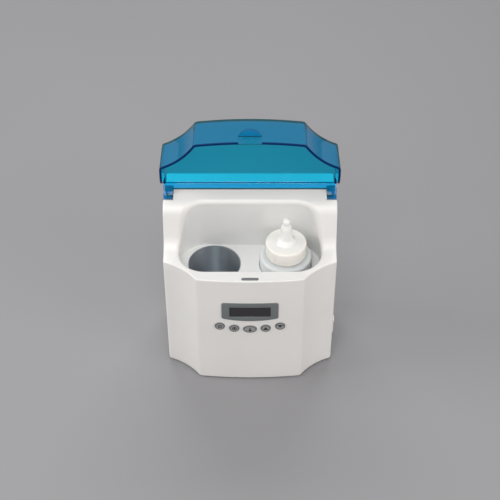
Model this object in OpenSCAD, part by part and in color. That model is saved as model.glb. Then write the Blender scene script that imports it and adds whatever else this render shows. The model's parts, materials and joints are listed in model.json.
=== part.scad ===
// Gel bottle warmer: a moulded case with scooped front corners and a rim that sweeps up to a rear deck,
// two metal wells sunk in a shelf, a front panel with a display and five keys, and a see-through lid.
// Lengths are in millimetres. x runs to the right, y to the rear and z up.
// Inside the modules y counts from the line through the front corners and z from the case's lower edge.

/* [Case] */
// Overall width of the case
case_w = 200; // [190:1:215]
// Depth from the front corners to the rear wall
case_d = 130; // [126:1:145]
// Width of the front between the scooped corners
front_w = 123; // [112:1:130]
// How far the middle of the front stands out
front_bow = 3.5; // [2:0.5:5]
// Depth of a scooped corner along the side
scoop_d = 28.7; // [26:0.1:31]
// Hollow of a scooped corner below its chord
scoop_sag = 4; // [2:0.5:6]
// Height of the front rim
front_h = 168; // [164:1:176]
// Height of the rear deck
rear_h = 217.5; // [212:0.5:226]
// Wall thickness of the case
wall = 2.5; // [2:0.1:3]
// Radius of the upright rear edges
rear_edge_r = 8; // [5:0.5:12]
// Radius of the top rear edge
top_edge_r = 4; // [3.5:0.5:8]

/* [Rim curve] */
// Slope of the rim between its two bends, in degrees
rim_slope = 73; // [66:1:78]
// Radius of the lower, hollow bend
rim_low_r = 21; // [17:0.5:24]
// Radius of the upper, round bend
rim_high_r = 15; // [11:0.5:18]
// Flat of the rim between a scooped corner and the foot of the rise
rim_flat = 8; // [5:0.1:10]

/* [Cavity and wells] */
// Width of the rim beside the opening
rim_side_w = 18; // [17:0.5:21]
// Distance from the front corners to the opening
open_y = 14.3; // [13:0.1:16]
// Depth of the opening
open_d = 63.4; // [63:0.1:64]
// Corner radius of the opening at the front
open_front_r = 30; // [26:0.5:30]
// Corner radius of the opening at the rear
open_rear_r = 32; // [28:0.5:32]
// Wall thickness of the cavity
tub_wall = 2; // [1.6:0.1:2.5]
// Height of the shelf with the two wells
shelf_h = 148; // [140:1:154]
// Thickness of the shelf
shelf_t = 2.5; // [2:0.1:3.5]
// Bore of a well
well_d = 60.8; // [60.8:0.1:61.2]
// How far a well lies outside the middle of its half of the opening
well_out = 0.5; // [0:0.1:3]
// Height of the floor inside a well
well_floor_h = 44; // [36:1:52]
// Sheet thickness of a cup
cup_t = 0.7; // [0.5:0.05:0.75]
// Width of the flange round a cup's mouth
cup_flange_w = 3.5; // [2.5:0.1:4]
// Bend radius between a cup's wall and floor
cup_bend_r = 5; // [3:0.5:8]

/* [Heaters] */
// Thickness of a heater mat
heater_t = 1.4; // [1:0.1:1.8]
// Height of a heater mat
heater_h = 66; // [50:1:72]
// Gap between the two ends of a heater mat, in degrees
heater_split = 24; // [16:1:40]
// Thickness of an insulating jacket
jacket_t = 2.2; // [1.5:0.1:2.4]
// Height of an insulating jacket
jacket_h = 78; // [74:1:84]
// Diameter of a thermal cutout
cutout_d = 16; // [12:0.5:18]
// Height of a thermal cutout
cutout_h = 6; // [4:0.5:8]
// Diameter of a temperature probe
probe_d = 5; // [4:0.5:6]

/* [Lid] */
// Height of the closed lid above the rear deck
lid_rise = 5.5; // [5:0.5:8]
// Wall thickness of the lid
lid_wall = 2.5; // [2:0.1:3]
// Gap between the closed lid and the rim
lid_gap = 0.4; // [0.3:0.1:0.8]
// Opening angle of the lid, in degrees
lid_open = 99.7; // [96:0.1:104]
// Distance from the deck's front edge to the hinge axis
hinge_back = 13.5; // [13:0.5:16]
// Depth of the hinge axis below the rear deck
hinge_drop = 3.5; // [3.2:0.1:4.5]
// Diameter of a hinge pin
pin_d = 3; // [2.5:0.1:4]
// Radius of the round end of a hinge ear
ear_r = 5; // [4:0.1:5.5]
// Width of a hinge ear
ear_w = 11.3; // [9:0.1:14]
// Width of the lid's finger pull
pull_w = 26; // [20:1:34]
// Reach of the finger pull in front of the lid
pull_reach = 9; // [6:0.5:11]
// Height of the finger pull above the lid's edge
pull_h = 13; // [9:0.5:18]
// Thickness of the finger pull
pull_t = 2.2; // [1.6:0.1:3]

/* [Front panel] */
// Width of the display bezel
bezel_w = 66; // [62:1:72]
// Height of the bezel's upper edge
bezel_top = 132.7; // [130:0.1:138]
// Height of the bezel's side walls above the middle of its lower edge
bezel_h = 29.2; // [27:0.1:33]
// Corner radius of the bezel
bezel_r = 3; // [2:0.5:4]
// How far the bezel stands out of the front
bezel_proud = 0.8; // [0.5:0.1:1.5]
// Width of the display window
window_w = 48; // [42:1:52]
// Height of the display window
window_h = 15.8; // [12:0.1:17]
// Height of the window's lower edge
window_z = 110.4; // [109.5:0.1:111]
// Thickness of the window
window_t = 1.5; // [1:0.1:2]
// Radius of the arc that the keys and the bezel's lower edge follow
panel_arc_r = 160; // [130:5:220]
// Height of the middle key
key_z = 89.3; // [86:0.1:92]
// Distance of the inner keys from the middle
key_inner_x = 18.4; // [17.5:0.1:19]
// Distance of the outer keys from the middle
key_outer_x = 35.3; // [34:0.1:37]
// Diameter of a round key
key_d = 11.6; // [10:0.1:12]
// Width of the middle key
key_mid_w = 16; // [14:0.1:17]
// How far a key stands out of the front
key_proud = 0.9; // [0.6:0.1:1.5]
// Travel of a key
key_travel = 0.8; // [0.5:0.1:1]
// Length of the catch insert in the front rim
catch_w = 20; // [14:1:26]
// Depth of the catch insert from front to rear
catch_d = 4.6; // [3.6:0.1:5.4]
// Height of the catch insert
catch_t = 4; // [3:0.5:6]

/* [Switch and inlet] */
// Height of the switch's middle
switch_z = 50; // [46:1:58]
// Distance of the switch's middle from the front corners
switch_y = 44; // [42:0.5:50]
// Height of the switch's frame
switch_h = 21; // [20:0.1:23]
// Width of the switch's frame
switch_w = 15; // [13.5:0.1:17]
// Tilt of the rocker to each side, in degrees
rocker_tilt = 9; // [6:0.5:10]
// Distance of the mains inlet from the case's side
inlet_side = 38; // [36:1:44]
// Height of the mains inlet's middle
inlet_z = 38; // [32:1:44]
// Distance between the inlet's two fixing screws
inlet_pitch = 40; // [40:0.5:42]

/* [Base] */
// Thickness of the base plate
base_t = 2.5; // [2:0.1:3.5]
// How far the base plate is set back into the case
base_lift = 1; // [0.6:0.1:2]
// How far the feet stand out below the case
foot_h = 2; // [1.5:0.1:4]
// Diameter of a foot
foot_d = 16; // [12:0.5:20]
// Outer diameter of the screw bosses
boss_d = 8; // [7:0.1:9]
// Shank diameter of the fixing screws
screw_d = 2.6; // [2.2:0.1:3]

/* [Electronics] */
// Distance from the front corners to the control board
board_y = 7.5; // [7.4:0.1:7.8]
// Thickness of the circuit boards
board_t = 1.6; // [1.2:0.1:1.8]
// Width of the control board
board_w = 86; // [82:1:90]
// Height of the control board
board_h = 60; // [58:1:62]
// Width of the power board
power_w = 92; // [88:1:96]
// Depth of the power board
power_d = 32; // [31:1:34]
// Width of the transformer
trafo_w = 30; // [24:1:34]

/* [Bottle] */
// Diameter of the bottle
bottle_d = 60; // [56:0.1:60.2]
// Height of the bottle's shoulder above its base
shoulder_h = 119.5; // [112:0.5:120]
// Wall thickness of the bottle
bottle_wall = 1.4; // [1:0.1:2]
// Diameter of the cap
cap_d = 47; // [42:0.5:50]
// Height of the cap
cap_h = 17.8; // [15:0.1:19]
// Height of the bottle with its nozzle
bottle_h = 174.5; // [166:0.5:175]
// Diameter of the nozzle's tip
nozzle_d = 8.6; // [6:0.2:10]

/* [Hidden] */
$fn = 96;
// Overlap that lets a cut pass right through a face
cut = 1;
// Clearance between pieces that slide or turn past each other
slip = 0.3;
// Clearance between pieces that are fixed together
snug = 0.05;
// How far a straight run lies inside the bend that it meets
meet = 0.01;
// Radial clearance of the lid's ears on the hinge pins
pin_slip = 0.05;

// Thickness of the mains inlet's flange
inlet_flange_t = 2.4;

mid_y = (case_d + inlet_flange_t - front_bow) / 2;
bow_r = (pow(front_w / 2, 2) + pow(front_bow, 2)) / (2 * front_bow);
bow_at = bow_r - front_bow;
scoop_run = (case_w - front_w) / 2;
scoop_chord = norm([scoop_run, scoop_d]);
scoop_r = (pow(scoop_chord / 2, 2) + pow(scoop_sag, 2)) / (2 * scoop_sag);
scoop_x = (front_w + scoop_run) / 2 + scoop_d / scoop_chord * (scoop_r - scoop_sag);
scoop_y = scoop_d / 2 - scoop_run / scoop_chord * (scoop_r - scoop_sag);

rim_bends = (rim_low_r + rim_high_r) * (1 - cos(rim_slope));
rim_run = (rear_h - front_h - rim_bends) / tan(rim_slope) + (rim_low_r + rim_high_r) * sin(rim_slope);
rim_flat_y = scoop_d + rim_flat;
rim_deck_y = rim_flat_y + rim_run;

open_w = case_w - 2 * rim_side_w;
well_x = open_w / 4 + well_out;
well_y = open_y + open_d / 2;
well_r = well_d / 2;
cup_r = well_r + cup_t;
cup_top = shelf_h - shelf_t;
cup_rim = shelf_h - snug;
cup_low = well_floor_h - cup_t;
heater_r = cup_r + snug;
jacket_r = heater_r + heater_t + snug;
band_z = (cup_top + cup_low) / 2;
tab_t = 0.8;

lid_top = rear_h + lid_rise;
hinge_y = rim_deck_y + hinge_back;
hinge_z = rear_h - hinge_drop;
lid_stop = (hinge_drop + slip - (lid_top - hinge_z) * cos(lid_open)) / sin(lid_open);
lid_rear_y = hinge_y - lid_stop;
lid_flange_y = rim_deck_y - slip;
pull_edge_t = 1;
ear_x = case_w / 2 - ear_w;
ear_cap_t = 3;
ear_hole_x = case_w / 2 - ear_cap_t;
pocket_x = ear_x - slip;
pocket_wall = 2.2;
pocket_front = rim_deck_y + cut;
pocket_rear = hinge_y + norm([lid_stop, lid_top - hinge_z]) + 2 * slip;
pocket_z = hinge_z - ear_r - 2 * slip;
pin_r = pin_d / 2;
pin_boss_r = pin_r + pocket_wall;
pin_grip = 8;
pin_in = 8.5;

bezel_low = bezel_top - bezel_h;
arc_at = bezel_low + panel_arc_r;
bezel_lip = 3.5;
plug_gap = 0.2;
key_r = key_d / 2;
key_flange = 1.2;
key_flange_t = 1;
key_step = 0.5;
catch_y = catch_d / 2 - wall / 2;
KEYS = [
    ["key_power", -key_outer_x],
    ["key_timer", -key_inner_x],
    ["key_set", 0],
    ["key_up", key_inner_x],
    ["key_down", key_outer_x]
];
key_arc_at = key_z + panel_arc_r;
tact_w = 6;
tact_h = 3;
tact_stem_d = 3.2;
tact_stem_h = 0.6;
board_drop = 8;
board_z = window_z + window_h / 2 - board_h / 2 - board_drop;
board_screw_x = 27;
board_screw_in = 4;
lcd_w = window_w + 8;
lcd_h = window_h + 7;
lcd_t = 4.4;
screw_head_d = 2 * screw_d;
screw_head_h = 1.4;
board_screw_len = 5.5;
base_screw_len = 12;
base_boss_h = 24;
base_screw_y = [scoop_d + 12, case_d - 12];
base_screw_x = case_w / 2 - wall - boss_d / 2 - 1;
boss_web_t = 3;
board_boss_d = 6;
base_top = base_lift + base_t;
foot_x = front_w / 2 - 4;
foot_y = [18, case_d - 22];
foot_bevel = 1;
collar_r = 27;
collar_t = 2;
vent_w = 3;
vent_len = 24;
vent_step = 8;

rocker_y_half = 5;
rocker_r = 8.4;
rocker_axis_in = 2.4;
rocker_face = 2.6;
switch_proud = 1.5;
switch_body_in = 17;
switch_lip = 1;

inlet_x = case_w / 2 - inlet_side;
inlet_w = 27.6;
inlet_h = 20;
inlet_in = 17;
inlet_flange_h = 23;
inlet_shell = 1.8;
inlet_bevel = 5;
blade_in = 11;
blade_w = 2;
blade_h = 4;
blade_x = 7;
blade_drop = 2;

power_x = -12;
power_z = base_top + 6;
power_y = case_d - wall - power_d - 2;
power_post_in = 4;
power_post_d = 6;
trafo_x = -38;
trafo_h = 24;
trafo_d = 24;
trafo_core = 9;
coil_w = 18;
coil_h = 17;
capacitor_d = 12;
capacitor_h = 22;
capacitor_x = [-8, 7];
relay_x = 22;
relay_w = 16;
relay_d = 18;
relay_h = 15;

bottle_r = bottle_d / 2;
bottle_z = well_floor_h + slip;
bottle_bend_r = 5;
shoulder_r = 3.5;
neck_r = 20;
cap_lift = 2.2;
cap_z = bottle_z + shoulder_h + cap_lift;
cap_r = cap_d / 2;
cap_wall = 1.8;
cap_top = cap_z + cap_h;
nozzle_tip = bottle_z + bottle_h;
nozzle_r = nozzle_d / 2;
nozzle_flare_r = 12;
flare_h = 5;
nozzle_foot_r = 7.2;
nozzle_neck_r = 6.3;
nozzle_neck_h = 22;
nozzle_step_h = 5;
cap_round = 2.2;
nozzle_bore_r = 1.6;

// Where the bowed front lies at a distance x from the middle
function bow_y(x) = bow_at - sqrt(bow_r * bow_r - x * x);

// Height on the keys' arc at a distance x from the middle
function key_height(x) = key_arc_at - sqrt(panel_arc_r * panel_arc_r - x * x);

// Moves a piece from the modules' frame to the frame of the whole part
module placed() {
    translate([0, -mid_y, foot_h]) children();
}

// Repeats a piece on the left side
module both_sides() {
    children();
    mirror([1, 0, 0]) children();
}

// Turns a profile drawn in y and z into a bar that runs across the part
module across(from, to) {
    translate([from, 0, 0]) rotate([90, 0, 90]) linear_extrude(to - from) children();
}

// Turns an outline drawn in x and z into a bar that runs from the front to the rear
module along_y(from, to) {
    translate([0, to, 0]) rotate([90, 0, 0]) linear_extrude(to - from) children();
}

// Turns an outline drawn in x and y into a bar that stands upright
module upright(from, to) {
    translate([0, 0, from]) linear_extrude(to - from) children();
}

// Slot with round ends, centred
module slot(length, width) {
    square([length - width, width], center = true);
    for (side = [-1, 1]) translate([side * (length - width) / 2, 0]) circle(d = width);
}

// Outline of the case seen from above, drawn inwards by inset
module plan(inset) {
    half = case_w / 2 - inset;
    corner = case_w / 2 - rear_edge_r;
    difference() {
        intersection() {
            union() {
                translate([-half, -2 * front_bow])
                    square([2 * half, case_d - rear_edge_r + 2 * front_bow]);
                translate([-corner, 0]) square([2 * corner, case_d - inset]);
                for (side = [-1, 1]) {
                    translate([side * corner, case_d - rear_edge_r]) circle(rear_edge_r - inset);
                }
            }
            translate([0, bow_at]) circle(bow_r - inset, $fn = 360);
        }
        for (side = [-1, 1]) translate([side * scoop_x, scoop_y]) circle(scoop_r + inset);
    }
}

// Outline of the case seen from the side, with the rim's two bends, drawn inwards by inset
module side_profile(inset, low) {
    low_r = rim_low_r + inset;
    high_r = rim_high_r - inset;
    flat_z = front_h - inset;
    deck_z = rear_h - inset;
    end_r = high_r - meet;
    low_end = [rim_flat_y + low_r * sin(rim_slope), front_h + rim_low_r - low_r * cos(rim_slope)];
    high_end = [rim_deck_y - end_r * sin(rim_slope), rear_h - rim_high_r + end_r * cos(rim_slope)];
    difference() {
        polygon([
            [-front_bow - cut, low], [-front_bow - cut, flat_z], [rim_flat_y, flat_z], low_end, high_end,
            [rim_deck_y, deck_z], [case_d - top_edge_r, deck_z],
            [case_d - inset, rear_h - top_edge_r], [case_d - inset, low]
        ]);
        translate([rim_flat_y, front_h + rim_low_r]) circle(low_r + meet);
    }
    translate([rim_deck_y, rear_h - rim_high_r]) circle(high_r);
    translate([case_d - top_edge_r, rear_h - top_edge_r]) circle(top_edge_r - inset);
}

// Body of the case as a solid, drawn inwards by inset
module case_solid(inset, low) {
    intersection() {
        upright(low, rear_h + cut) plan(inset);
        across(-case_w / 2 - cut, case_w / 2 + cut) side_profile(inset, low - cut);
    }
}

// Outline of the opening, drawn outwards by grow
module open_plan(grow) {
    half = open_w / 2;
    front_r = open_front_r + grow;
    rear_r = open_rear_r + grow;
    front_c = open_y + open_front_r;
    rear_c = open_y + open_d - open_rear_r;
    front_x = half - open_front_r;
    rear_x = half - open_rear_r;
    translate([-front_x, open_y - grow]) square([2 * front_x, front_r]);
    translate([-half - grow, front_c]) square([2 * (half + grow), rear_c - front_c]);
    translate([-rear_x, rear_c]) square([2 * rear_x, rear_r]);
    for (side = [-1, 1]) {
        translate([side * front_x, front_c]) circle(front_r);
        translate([side * rear_x, rear_c]) circle(rear_r);
    }
}

// Front of the case as a bowed block, drawn outwards by grow
module bowed_front(grow) {
    translate([0, bow_at, 0]) cylinder(r = bow_r + grow, h = front_h, $fn = 360);
}

// Outline of the bezel in x and z, with a lower edge that follows the keys' arc
module bezel_outline(inset) {
    half = bezel_w / 2 - inset;
    r = bezel_r;
    top = bezel_top - inset;
    arc = panel_arc_r - inset;
    low_c = arc_at - sqrt(pow(arc - r, 2) - pow(half - r, 2));
    intersection() {
        translate([r - half, bezel_low]) square([2 * (half - r), top - bezel_low]);
        translate([0, arc_at]) circle(arc, $fn = 360);
    }
    translate([-half, low_c]) square([2 * half, top - r - low_c]);
    for (side = [-1, 1]) {
        for (height = [low_c, top - r]) translate([side * (half - r), height]) circle(r);
    }
}

// Outline of the display window in x and z
module window_outline(grow) {
    translate([-window_w / 2 - grow, window_z - grow])
        square([window_w + 2 * grow, window_h + 2 * grow]);
}

// Outline of a key at x: round, or a wider slot in the middle
module key_outline(x, grow) {
    translate([x, key_height(x)]) {
        if (x == 0) slot(key_mid_w + 2 * grow, key_d + 2 * grow);
        else circle(d = key_d + 2 * grow);
    }
}

// Bosses on the front wall that carry the control board
module board_bosses() {
    for (side = [-1, 1]) {
        for (height = [board_z + board_screw_in, board_z + board_h - board_screw_in]) {
            translate([side * board_screw_x, 0, height]) children();
        }
    }
}

// Places of the four base screws
module base_screw_places() {
    both_sides() for (y = base_screw_y) translate([base_screw_x, y, 0]) children();
}

// Places of the two inlet screws, looking along y
module inlet_screw_places() {
    for (side = [-1, 1]) translate([inlet_x + side * inlet_pitch / 2, case_d, inlet_z]) children();
}

// Block that lines a hinge pocket, with the boss that grips the pin
module hinge_block() {
    x = pocket_x - pocket_wall;
    y = pocket_front - pocket_wall;
    depth = pocket_rear - pocket_front + 2 * pocket_wall;
    low = pocket_z - pocket_wall;
    translate([x, y, low]) cube([case_w / 2 - x, depth, rear_h - low]);
    translate([pocket_x - pin_grip, hinge_y, hinge_z]) rotate([0, 90, 0])
        cylinder(r = pin_boss_r, h = pin_grip);
}

module case_shell() {
    color("whitesmoke") placed() difference() {
        union() {
            difference() {
                case_solid(0, 0);
                case_solid(wall, -cut);
            }
            intersection() {
                both_sides() hinge_block();
                case_solid(0, 0);
            }
            base_screw_places() translate([0, 0, base_top]) {
                cylinder(d = boss_d, h = base_boss_h);
                translate([0, -boss_web_t / 2, 0])
                    cube([case_w / 2 - wall / 2 - base_screw_x, boss_web_t, base_boss_h]);
            }
            difference() {
                board_bosses() rotate([90, 0, 0]) translate([0, 0, -board_y])
                    cylinder(d = board_boss_d, h = board_y + front_bow / 2);
                difference() {
                    translate([-case_w / 2, -case_d, 0]) cube([case_w, 2 * case_d, front_h]);
                    bowed_front(-wall / 2);
                }
            }
        }
        upright(shelf_h, rear_h + cut) open_plan(0);
        both_sides() {
            translate([pocket_x, pocket_front, pocket_z])
                cube([case_w, pocket_rear - pocket_front, rear_h]);
            translate([pocket_x - pin_grip, hinge_y, hinge_z]) rotate([0, 90, 0])
                cylinder(r = pin_r, h = pin_grip + cut);
        }
        along_y(-front_bow - cut, board_y - lcd_t) bezel_outline(bezel_lip);
        for (key = KEYS) along_y(-front_bow - cut, board_y - tact_h) key_outline(key[1], slip);
        translate([0, catch_y, front_h - catch_t]) linear_extrude(catch_t + cut) slot(catch_w, catch_d);
        base_screw_places() translate([0, 0, base_top - cut])
            cylinder(d = screw_d, h = base_screw_len + cut);
        board_bosses() rotate([90, 0, 0]) translate([0, 0, -board_y - cut])
            cylinder(d = screw_d, h = board_y);
        translate([case_w / 2, switch_y, switch_z]) rotate([0, 90, 0])
            linear_extrude(3 * wall, center = true)
                square([switch_h - 2 * switch_lip, switch_w - 2 * switch_lip], center = true);
        along_y(case_d - wall - cut, case_d + cut) inlet_outline(plug_gap);
        inlet_screw_places() rotate([90, 0, 0]) translate([0, 0, -cut])
            cylinder(d = screw_d, h = wall + 2 * cut);
    }
}

module cavity_tub() {
    color("white") placed() {
        intersection() {
            upright(shelf_h, rear_h) difference() {
                open_plan(tub_wall);
                open_plan(0);
            }
            across(-case_w / 2, case_w / 2) side_profile(wall, 0);
        }
        upright(cup_top, shelf_h) difference() {
            open_plan(tub_wall);
            for (side = [-1, 1]) translate([side * well_x, well_y]) circle(cup_r + snug);
        }
    }
}

module base_plate() {
    inner = collar_r - collar_t;
    color("gainsboro") placed() difference() {
        union() {
            upright(base_lift, base_top) plan(wall + plug_gap);
            for (side = [-1, 1]) {
                upright(base_top, cup_low) translate([side * well_x, well_y]) difference() {
                    circle(collar_r);
                    circle(inner);
                    square([3 * collar_r, cutout_d], center = true);
                }
            }
            power_posts() translate([0, 0, base_top]) cylinder(d = power_post_d, h = power_z - base_top);
        }
        base_screw_places() {
            cylinder(d = screw_d + slip, h = base_top + cut);
            cylinder(d = screw_head_d + slip, h = base_lift + screw_head_h);
        }
        for (side = [-1, 1]) for (row = [-2:2]) {
            upright(0, base_top + cut) translate([side * well_x, well_y + row * vent_step])
                slot(vent_len, vent_w);
        }
        power_posts() translate([0, 0, base_top]) cylinder(d = screw_d, h = power_z);
    }
}

module rubber_feet() {
    color("dimgray") placed() both_sides() for (y = foot_y) {
        translate([foot_x, y, -foot_h]) {
            cylinder(d1 = foot_d - 2 * foot_bevel, d2 = foot_d, h = foot_bevel);
            translate([0, 0, foot_bevel]) cylinder(d = foot_d, h = foot_h + base_lift - foot_bevel);
        }
    }
}

module base_screws() {
    color("silver") placed() base_screw_places() translate([0, 0, base_lift]) {
        cylinder(d = screw_head_d, h = screw_head_h);
        translate([0, 0, screw_head_h]) cylinder(d = screw_d, h = base_screw_len);
    }
}

// Section of a cup: wall, bent floor and flange
module cup_section() {
    outer_bend = cup_bend_r + cup_t;
    difference() {
        union() {
            translate([0, cup_low + outer_bend]) square([cup_r, cup_rim - cup_low - outer_bend]);
            translate([0, cup_low]) square([cup_r - outer_bend, outer_bend]);
            translate([cup_r - outer_bend, cup_low + outer_bend]) circle(outer_bend);
        }
        translate([0, well_floor_h + cup_bend_r]) square([well_r, cup_top]);
        translate([0, well_floor_h]) square([well_r - cup_bend_r, cup_top]);
        translate([well_r - cup_bend_r, well_floor_h + cup_bend_r]) circle(cup_bend_r);
    }
    translate([well_r, cup_top - cup_t]) square([cup_t + cup_flange_w, cup_t]);
}

module cup(side) {
    color("slategray") placed() translate([side * well_x, well_y, 0]) rotate_extrude() intersection() {
        cup_section();
        square([case_w, rear_h]);
    }
}

module left_cup() {
    cup(-1);
}

module right_cup() {
    cup(1);
}

module heater_mat(side) {
    color("orangered") placed() translate([side * well_x, well_y, band_z - heater_h / 2]) {
        rotate([0, 0, 90 + heater_split / 2]) rotate_extrude(angle = 360 - heater_split)
            translate([heater_r, 0]) square([heater_t, heater_h]);
    }
}

module left_heater_mat() {
    heater_mat(-1);
}

module right_heater_mat() {
    heater_mat(1);
}

module jacket(side) {
    color("lightyellow") placed() translate([side * well_x, well_y, band_z - jacket_h / 2])
        linear_extrude(jacket_h) difference() {
            circle(jacket_r + jacket_t);
            circle(jacket_r);
        }
}

module left_jacket() {
    jacket(-1);
}

module right_jacket() {
    jacket(1);
}

module temperature_probes() {
    color("black") placed() for (side = [-1, 1]) {
        translate([side * (well_x - cutout_d), well_y, cup_low - probe_d])
            cylinder(d = probe_d, h = probe_d);
    }
}

module thermal_cutouts() {
    low = cup_low - cutout_h;
    color("silver") placed() for (side = [-1, 1]) translate([side * well_x, well_y, low]) {
        cylinder(d = cutout_d, h = cutout_h);
        for (end = [-1, 1]) translate([end * cutout_d / 4, 0, 0])
            cube([tab_t, cutout_d / 3, cutout_h], center = true);
    }
}

module display_bezel() {
    color("gray") placed() difference() {
        union() {
            difference() {
                intersection() {
                    along_y(-front_bow - 2 * bezel_proud, 0) bezel_outline(0);
                    bowed_front(bezel_proud);
                }
                bowed_front(0);
            }
            intersection() {
                along_y(-front_bow, board_y - lcd_t) bezel_outline(bezel_lip + plug_gap);
                bowed_front(0);
            }
        }
        along_y(-front_bow - cut - bezel_proud, -front_bow + window_t) window_outline(0);
        along_y(-front_bow - cut, board_y) window_outline(-1);
    }
}

module display_window() {
    color("black") placed() along_y(-front_bow, -front_bow + window_t) window_outline(0);
}

module display_module() {
    middle = window_z + window_h / 2;
    color("darkgreen") placed() translate([-lcd_w / 2, board_y - lcd_t, middle - lcd_h / 2])
        cube([lcd_w, lcd_t, lcd_h]);
}

module control_board() {
    color("green") placed() difference() {
        translate([-board_w / 2, board_y, board_z]) cube([board_w, board_t, board_h]);
        board_bosses() rotate([90, 0, 0]) translate([0, 0, -board_y - board_t - cut])
            cylinder(d = screw_d + slip, h = board_t + 2 * cut);
    }
}

module tact_switches() {
    color("dimgray") placed() for (key = KEYS) translate([key[1], board_y, key_height(key[1])]) {
        translate([-tact_w / 2, -tact_h, -tact_w / 2]) cube([tact_w, tact_h, tact_w]);
        rotate([90, 0, 0]) cylinder(d = tact_stem_d, h = tact_h + tact_stem_h);
    }
}

// A board screw that points down, with its head at the origin
module board_screw() {
    cylinder(d = screw_head_d, h = screw_head_h);
    translate([0, 0, -board_screw_len]) cylinder(d = screw_d, h = board_screw_len + cut);
}

module board_screws() {
    color("silver") placed() {
        board_bosses() translate([0, board_y + board_t, 0]) rotate([-90, 0, 0]) board_screw();
        power_posts() translate([0, 0, power_z + board_t]) board_screw();
    }
}

module rim_catch() {
    color("gray") placed() translate([0, catch_y, front_h - catch_t])
        linear_extrude(catch_t - plug_gap) slot(catch_w, catch_d);
}

// Four posts that carry the power board
module power_posts() {
    reach = [power_w / 2 - power_post_in, power_d / 2 - power_post_in];
    for (side = [-1, 1]) for (end = [-1, 1]) {
        translate([power_x + side * reach[0], power_y + power_d / 2 + end * reach[1], 0]) children();
    }
}

module power_board() {
    color("darkgreen") placed() difference() {
        translate([power_x - power_w / 2, power_y, power_z]) cube([power_w, power_d, board_t]);
        power_posts() translate([0, 0, power_z - cut])
            cylinder(d = screw_d + slip, h = board_t + 2 * cut);
    }
}

module power_transformer() {
    low = power_z + board_t;
    color("goldenrod") placed() translate([trafo_x, power_y + power_d / 2, low]) {
        translate([-trafo_w / 2, -trafo_core / 2, 0]) cube([trafo_w, trafo_core, trafo_h]);
        translate([0, 0, trafo_h / 2]) cube([coil_w, trafo_d, coil_h], center = true);
    }
}

module power_capacitors() {
    color("navy") placed() for (x = capacitor_x) {
        translate([x, power_y + power_d / 2, power_z + board_t])
            cylinder(d = capacitor_d, h = capacitor_h);
    }
}

module power_relay() {
    low = power_z + board_t;
    color("black") placed() translate([relay_x - relay_w / 2, power_y + (power_d - relay_d) / 2, low])
        cube([relay_w, relay_d, relay_h]);
}

// Outline of the inlet's body in x and z, with two bevelled upper corners
module inlet_outline(grow) {
    half = inlet_w / 2 + grow;
    rise = inlet_h / 2 + grow;
    translate([inlet_x, inlet_z]) polygon([
        [-half, -rise], [half, -rise], [half, rise - inlet_bevel], [half - inlet_bevel, rise],
        [inlet_bevel - half, rise], [-half, rise - inlet_bevel]
    ]);
}

module mains_inlet() {
    flange_w = inlet_pitch + 2 * screw_head_d - cut;
    rear = case_d + inlet_flange_t;
    color("black") placed() difference() {
        union() {
            along_y(case_d, rear) translate([inlet_x, inlet_z]) slot(flange_w + cut, inlet_flange_h / 2);
            along_y(case_d, rear) translate([inlet_x, inlet_z])
                square([inlet_w + inlet_shell, inlet_flange_h], center = true);
            along_y(case_d - inlet_in, rear) inlet_outline(0);
        }
        along_y(case_d - inlet_in + inlet_shell, rear + cut) inlet_outline(-inlet_shell);
        inlet_screw_places() rotate([-90, 0, 0]) cylinder(d = screw_d + slip, h = rear);
    }
}

module inlet_blades() {
    from = case_d - inlet_in + inlet_shell;
    places = [[-blade_x, -blade_drop], [0, blade_drop], [blade_x, -blade_drop]];
    color("gold") placed() for (at = places) {
        translate([inlet_x + at[0] - blade_w / 2, from, inlet_z + at[1] - blade_h / 2])
            cube([blade_w, blade_in, blade_h]);
    }
}

module inlet_screws() {
    color("silver") placed() inlet_screw_places() translate([0, inlet_flange_t, 0]) {
        rotate([-90, 0, 0]) cylinder(d = screw_head_d, h = screw_head_h);
        rotate([90, 0, 0]) cylinder(d = screw_d, h = inlet_flange_t + 2 * wall);
    }
}

// Moves a piece to the rocker's axis, which runs from the front to the rear
module at_switch() {
    translate([case_w / 2 - rocker_axis_in, switch_y, switch_z]) children();
}

module switch_frame() {
    hole = rocker_r + slip;
    face = case_w / 2 + switch_proud;
    body = [switch_w - 2 * switch_lip - plug_gap, switch_h - 2 * switch_lip - plug_gap];
    color("white") placed() difference() {
        union() {
            translate([case_w / 2, switch_y - switch_w / 2, switch_z - switch_h / 2])
                cube([switch_proud, switch_w, switch_h]);
            translate([face - switch_body_in, switch_y - body[0] / 2, switch_z - body[1] / 2])
                cube([switch_body_in, body[0], body[1]]);
        }
        at_switch() rotate([-90, 0, 0]) translate([0, 0, -rocker_y_half - slip])
            cylinder(r = hole, h = 2 * (rocker_y_half + slip));
    }
}

module switch_rocker() {
    rise = rocker_r * tan(rocker_tilt);
    color("white") placed() at_switch() rotate([0, rocker_tilt, 0])
        along_y(-rocker_y_half, rocker_y_half) intersection() {
            circle(rocker_r);
            polygon([
                [-rocker_face, -rocker_r], [rocker_face + rise, -rocker_r], [rocker_face, 0],
                [rocker_face + rise, rocker_r], [-rocker_face, rocker_r]
            ]);
        }
}

module hinge_pins() {
    color("silver") placed() both_sides() translate([pocket_x - pin_grip, hinge_y, hinge_z])
        rotate([0, 90, 0]) cylinder(r = pin_r, h = pin_grip + slip + pin_in - cut);
}

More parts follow.
